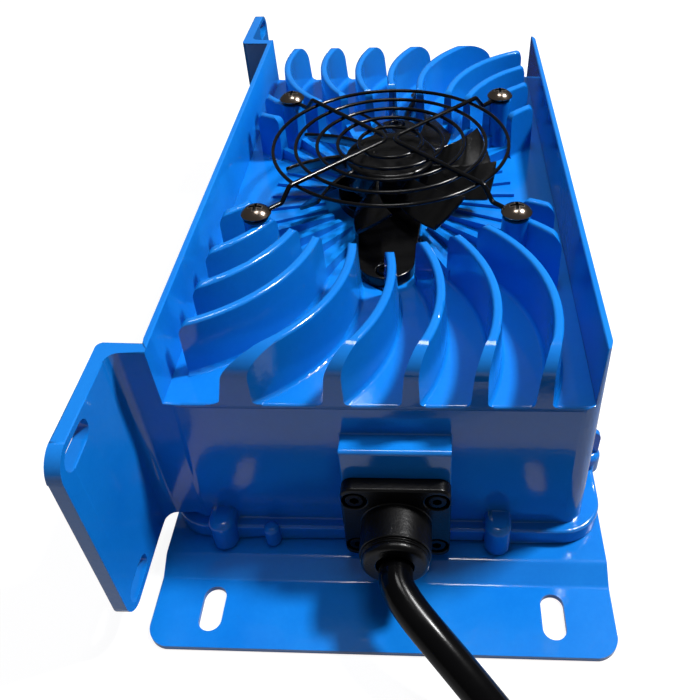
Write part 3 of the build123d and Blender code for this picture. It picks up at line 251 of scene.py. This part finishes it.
def bluePaint():
    # powder coat: two close blues in clouds, an orange peel of two sizes and a clear gloss
    made = finish("bluePaint", Coat_Weight=paint["coat"], Coat_Roughness=paint["coatRoughness"],
                  Specular_IOR_Level=paint["shine"])
    cloud = made.noise(*paint["cloud"])
    fleck = made.between(made.noise(*paint["fleck"]), *paint["fleckSpan"])
    mix = made.between(cloud, *paint["cloudSpan"]) * paint["cloudShare"] + fleck * (1 - paint["cloudShare"])
    fine, wide = made.noise(*paint["fineGrain"]), made.noise(*paint["wideGrain"])
    height = fine * paint["fineShare"] + wide * (1 - paint["fineShare"])
    return made.wear(Base_Color=made.blend(mix, rgb(*paint["deep"]), rgb(*paint["light"])),
                     Roughness=made.between(cloud, *paint["roughSpan"], *paint["roughness"]),
                     Normal=made.relief(height, *paint["bump"]))


# lighter is what the clouds add to the colour, and spread what they take from and add to the roughness
moulded = {"cloud": (40, 3, 0.5), "colourSpan": (0.35, 0.7), "roughSpan": (0.3, 0.7), "lighter": 4,
           "spread": 0.08, "grainDetail": (3, 0.6), "depth": 0.0003}


def moulding(name, dark=(6, 6, 7), rough=0.4, grain=900, strength=0.3, shine=0.3):
    made = finish(name, Specular_IOR_Level=shine)
    speck = made.noise(grain, *moulded["grainDetail"])
    cloud = made.noise(*moulded["cloud"])
    light = tuple(v + moulded["lighter"] for v in dark)
    smooth, dull = rough - moulded["spread"], rough + moulded["spread"]
    tinted = made.blend(made.between(cloud, *moulded["colourSpan"]), rgb(*dark), rgb(*light))
    return made.wear(Base_Color=tinted, Roughness=made.between(cloud, *moulded["roughSpan"], smooth, dull),
                     Normal=made.relief(speck, strength, moulded["depth"]))


# worn is the share of its colour that metal keeps in the clouds, whose roughness runs from the given one less
# polish to the given one plus dull
metalGrain = {"cloud": (90, 3, 0.6), "span": (0.3, 0.7), "fine": (1500, 2, 0.6), "bump": (0.12, 0.0002),
              "worn": 0.86, "polish": 0.06, "dull": 0.08}


def plainMetal(name, colour, rough):
    made = finish(name, Metallic=1.0)
    cloud = made.noise(*metalGrain["cloud"])
    worn = [v * metalGrain["worn"] for v in colour]
    smooth, dull = rough - metalGrain["polish"], rough + metalGrain["dull"]
    return made.wear(Base_Color=made.blend(made.between(cloud, *metalGrain["span"]), rgb(*colour), rgb(*worn)),
                     Roughness=made.between(cloud, *metalGrain["span"], smooth, dull),
                     Normal=made.relief(made.noise(*metalGrain["fine"]), *metalGrain["bump"]))


# the dark plating of the guard's screws, with painted shade in their cross recesses. In mm, spread is each
# one's distance from the middle along x and y, arm and half are the cross recess's half length and half width,
# and soft is half the width of the painted shade's soft edge. Dark is the colour of that painted shade.
plating = {"spread": 41.25, "arm": 2.3, "half": 0.7, "soft": 0.15, "colour": (128, 116, 106), "worn": 0.9,
           "dark": (8, 8, 8), "roughness": (0.13, 0.23), "recessRoughness": 0.4}


def screwPlating():
    made = finish("bronzePlate")
    split = made.node("ShaderNodeSeparateXYZ", {}, Vector=made.place)
    across = ((made.part(split, 0) / mm - shift).calc("ABSOLUTE") - plating["spread"]).calc("ABSOLUTE")
    along = ((made.part(split, 1) / mm).calc("ABSOLUTE") - plating["spread"]).calc("ABSOLUTE")
    # cross is the mask of the cross recesses, where painted shade darkens the plating
    cross = 1.0
    for value, size in ((across.calc("MINIMUM", along), "half"), (across.calc("MAXIMUM", along), "arm")):
        inside, outside = plating[size] - plating["soft"], plating[size] + plating["soft"]
        cross = made.between(value, inside, outside, 1.0, 0.0) * cross
    cloud = made.noise(*metalGrain["cloud"])
    worn = [v * plating["worn"] for v in plating["colour"]]
    plated = made.blend(made.between(cloud, *metalGrain["span"]), rgb(*plating["colour"]), rgb(*worn))
    rough = made.between(cloud, *metalGrain["span"], *plating["roughness"])
    # painted shade: in the cross recesses the plating turns to the dark colour, not metal and rougher
    return made.wear(Base_Color=made.blend(cross, plated, rgb(*plating["dark"])), Metallic=1 - cross,
                     Roughness=rough + cross * plating["recessRoughness"],
                     Normal=made.relief(made.noise(*metalGrain["fine"]), *metalGrain["bump"]))


blue = bluePaint()
plugMoulding = moulding("blackMoulding")
glandMoulding = moulding("glandMoulding", dark=(4, 4, 5), rough=0.32, grain=1100, strength=0.25, shine=0.22)
fanMoulding = moulding("fanMoulding", dark=(3, 3, 4), rough=0.2, grain=700, strength=0.1, shine=0.35)
jacket = moulding("cordJacket", dark=(3, 3, 4), rough=0.2, grain=300, strength=0.1, shine=0.13)
rubber = moulding("sealRubber", dark=(10, 10, 10), rough=0.62, grain=500)
wireCoat = moulding("wireCoat", dark=(2, 2, 3), rough=0.16, grain=200, strength=0.1)
ferrite = moulding("ferrite", dark=(34, 33, 33), rough=0.6, grain=600)
boardGreen = moulding("boardGreen", dark=(14, 74, 36), rough=0.3, grain=200)
film = moulding("filmAndPad", dark=(196, 188, 160), rough=0.5, grain=400)
boxedYellow = moulding("boxedParts", dark=(178, 140, 34), rough=0.4, grain=300)
cans = moulding("canSleeve", dark=(20, 24, 44), rough=0.3, grain=300)
terminalGreen = moulding("terminalGreen", dark=(30, 96, 48), rough=0.45, grain=300)
bronze = screwPlating()
oxide = plainMetal("blackOxide", colour=(26, 26, 28), rough=0.3)
steel = plainMetal("zincSteel", colour=(170, 170, 165), rough=0.3)
brass = plainMetal("pinBrass", colour=(205, 175, 95), rough=0.22)
copper = plainMetal("copperWire", colour=(170, 92, 52), rough=0.35)
aluminium = plainMetal("plainAluminium", colour=(190, 190, 190), rough=0.35)

slotFinish = {
    "cast_blue": blue, "plate_blue": blue, "gasket_rubber": rubber, "zinc_steel": steel,
    "black_plastic": glandMoulding, "black_screw": oxide, "fan_black": fanMoulding, "fan_steel": steel,
    "board_green": boardGreen, "copper": copper, "magnet": ferrite, "guard_black": wireCoat,
    "bronze_screw": bronze, "lead_black": jacket, "cord_black": jacket, "plug_black": plugMoulding,
    "pin_brass": brass, "film": film, "component_box": boxedYellow, "component_black": plugMoulding,
    "can": cans, "bar_aluminium": aluminium, "terminal_green": terminalGreen,
}
nodeFinish = {"fan_mount_screws": oxide}   # pieces that don't look like the rest of their slot
slotOf = {part["node"]: part["material_slot"] for part in frame["record"]["subparts"]}
for nodeName, piece in frame["nodes"].items():
    look = nodeFinish.get(nodeName, slotFinish[slotOf[nodeName]])
    piece.data.materials.clear()
    piece.data.materials.append(look.material)
powerCord.data.materials.append(jacket.material)
report("finishes given")

# merged copies of the solids whose edges catch the light. In mm, width is the rounding of each one's edges,
# shortest is the least length of an edge that is rounded on a long node, join and same are how far apart two
# points may lie that count as one, and fins is the space between the walls, whose faces stay as they are. In
# degrees, angle is the least fold of a sharp edge, and flat the most between faces that are one.
softEdges = {
    "width": {"housing": 0.5, "base_plate": 0.3, "input_gland": 0.3, "output_gland": 0.3,
              "input_gland_cap": 0.25, "output_gland_cap": 0.25, "fan_mount": 0.4, "fan_impeller": 0.25,
              "mains_plug": 0.5},
    "finned": "housing", "long": ("housing", "base_plate"), "shortest": 2.0, "join": 0.003, "same": 0.01,
    "fins": ((-58.0, 59.6), (-104.95, 104.95), (63.6, 82.2)), "angle": 32, "flat": 0.5, "segments": 3,
    "faceWeight": 100,
}


def amongFins(middle):
    return all(low < value / mm < high for value, (low, high) in zip(middle, softEdges["fins"]))


def withFinNormals(made, source):
    # applies the modifiers, and gives the faces among the fins the normals that the solid has there
    applied = bpy.data.meshes.new_from_object(made.evaluated_get(bpy.context.evaluated_depsgraph_get()))
    made.modifiers.clear()
    made.data = applied
    normals = [tuple(corner.vector) for corner in applied.corner_normals]
    tree = KDTree(len(source.polygons))
    for face in source.polygons:
        tree.insert(face.center, face.index)
    tree.balance()
    for face in applied.polygons:
        if not amongFins(face.center) or face.loop_total != 3:
            continue
        _, index, distance = tree.find(face.center)
        if distance > softEdges["same"] * mm:
            continue
        twin = source.polygons[index]
        for corner in face.loop_indices:
            place = applied.vertices[applied.loops[corner].vertex_index].co
            nearest = min(twin.loop_indices, key=lambda other: (
                source.vertices[source.loops[other].vertex_index].co - place).length_squared)
            normals[corner] = tuple(source.corner_normals[nearest].vector)
    applied.normals_split_custom_set(normals)


def mergedMesh(nodeName, name):
    # doubles joined, flat triangles dissolved, and the sharp edges that are to be rounded given a weight
    mesh = bmesh.new()
    mesh.from_mesh(frame["nodes"][nodeName].data)
    bmesh.ops.remove_doubles(mesh, verts=mesh.verts, dist=softEdges["join"] * mm)
    finned = nodeName == softEdges["finned"]
    kept = {face for face in mesh.faces if finned and amongFins(face.calc_center_median())}
    bmesh.ops.dissolve_limit(mesh, angle_limit=math.radians(softEdges["flat"]),
                             verts=[vertex for vertex in mesh.verts if kept.isdisjoint(vertex.link_faces)],
                             edges=[edge for edge in mesh.edges if kept.isdisjoint(edge.link_faces)])
    weights = mesh.edges.layers.float.new("bevel_weight_edge")
    shortest = softEdges["shortest"] * mm if nodeName in softEdges["long"] else 0.0
    for edge in mesh.edges:
        sharp = len(edge.link_faces) == 2 and edge.calc_face_angle() > math.radians(softEdges["angle"])
        if sharp and edge.calc_length() > shortest and kept.isdisjoint(edge.link_faces):
            edge[weights] = 1.0
    data = bpy.data.meshes.new(name)
    mesh.to_mesh(data)
    mesh.free()
    data.polygons.foreach_set("use_smooth", [True] * len(data.polygons))
    data.set_sharp_from_angle(angle=math.radians(softEdges["angle"]))
    return data


def softened(nodeName, width):
    source = frame["nodes"][nodeName]
    words = nodeName.split("_")
    name = words[0] + "".join(word.capitalize() for word in words[1:]) + "Soft"
    made = bpy.data.objects.new(name, mergedMesh(nodeName, name))
    bpy.context.collection.objects.link(made)
    bevel = made.modifiers.new("roundedEdges", "BEVEL")
    bevel.width, bevel.segments = width * mm, softEdges["segments"]
    bevel.limit_method = "WEIGHT"
    bevel.use_clamp_overlap = False
    flat = made.modifiers.new("flatFaces", "WEIGHTED_NORMAL")
    flat.keep_sharp = True
    flat.weight = softEdges["faceWeight"]
    made.data.materials.append(source.data.materials[0])
    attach(made, body_of(source)[0])
    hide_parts(nodeName)
    if nodeName == softEdges["finned"]:
        withFinNormals(made, source.data)
    return made


softPieces = {name: softened(name, width) for name, width in softEdges["width"].items()}
report("edges rounded")

# in m: half is half of the floor's side, fade the depths between which it dims for reflections, and far the
# distances between which it turns plain white. White is the light it gives off to the camera, and mirrored to
# reflections.
paper = {"half": 3.0, "colour": (128, 128, 130), "dim": (30, 30, 32), "roughness": 0.7, "shine": 0.1,
         "white": 0.91, "mirrored": 0.33, "fade": (-0.14, 0.02), "far": (0.4, 1.2)}


def makeFloor():
    # grey paper that the camera sees as white, with the object's shadow kept in the part that is paper;
    # reflections find it bright in front of the object and dim behind it, and far off it is plain white
    half = paper["half"]
    corners = [(-half, -half, 0), (half, -half, 0), (half, half, 0), (-half, half, 0)]
    data = bpy.data.meshes.new("floor")
    data.from_pydata(corners, [], [(0, 1, 2, 3)])
    made = bpy.data.objects.new("floor", data)
    bpy.context.collection.objects.link(made)
    look = finish("floorPaper", Roughness=paper["roughness"], Specular_IOR_Level=paper["shine"],
                  Emission_Strength=1.0)
    path = look.node("ShaderNodeLightPath", {})
    glossy = look.part(path, "Is Glossy Ray")
    depth = look.part(look.node("ShaderNodeSeparateXYZ", {}, Vector=look.place), 1)
    behind = look.between(depth, *paper["fade"])
    away = look.part(look.node("ShaderNodeVectorMath", {"operation": "LENGTH"}, Vector=look.place), 1)
    white = look.between(away, *paper["far"], paper["white"], 1.0)
    seen = look.part(path, "Is Camera Ray") * white + glossy * (1 - behind) * paper["mirrored"]
    look.wear(Emission_Color=look.blend(seen, rgb(0, 0, 0), rgb(255, 255, 255)),
              Base_Color=look.blend(glossy * behind, rgb(*paper["colour"]), rgb(*paper["dim"])))
    data.materials.append(look.material)


makeFloor()

# each lamp is a square: its place in m, its side in m and its power in W
lamps = {"target": (0, 0, 0.04), "squares": {"keyRight": ((0.46, 0.11, 0.83), 0.12, 13.0),
                                             "overTop": ((0.0, 0.1, 1.3), 0.3, 4.2)}}


def makeLamps():
    for name, (place, side, power) in lamps["squares"].items():
        data = bpy.data.lights.new(name, "AREA")
        data.shape, data.size, data.energy = "SQUARE", side, power
        made = bpy.data.objects.new(name, data)
        made.location = place
        made.rotation_euler = (Vector(lamps["target"]) - Vector(place)).to_track_quat("-Z", "Y").to_euler()
        bpy.context.collection.objects.link(made)


makeLamps()

# the world's strength at the low and the high end of the stated range of a direction's height
sky = {"height": (-0.05, 0.9), "strength": (0.12, 0.17)}


def makeWorld():
    # dim at and under the horizon, brighter overhead, and white to the camera
    world = bpy.data.worlds.new("studioWorld")
    world.use_nodes = True
    tree = world.node_tree
    background = tree.nodes["Background"]
    background.inputs[0].default_value = rgb(255, 255, 255)
    place = tree.nodes.new("ShaderNodeTexCoord")
    split = tree.nodes.new("ShaderNodeSeparateXYZ")
    tree.links.new(place.outputs["Generated"], split.inputs[0])
    rise = tree.nodes.new("ShaderNodeMapRange")
    for name, value in zip(("From Min", "From Max", "To Min", "To Max"), sky["height"] + sky["strength"]):
        rise.inputs[name].default_value = value
    tree.links.new(split.outputs[2], rise.inputs["Value"])
    path = tree.nodes.new("ShaderNodeLightPath")
    seen = sock(tree, path.outputs["Is Camera Ray"])
    strength = sock(tree, rise.outputs[0]) * (1 - seen) + seen
    tree.links.new(strength.out, background.inputs[1])
    bpy.context.scene.world = world


makeWorld()
bpy.context.scene.view_settings.view_transform = "Standard"
report("studio lit")
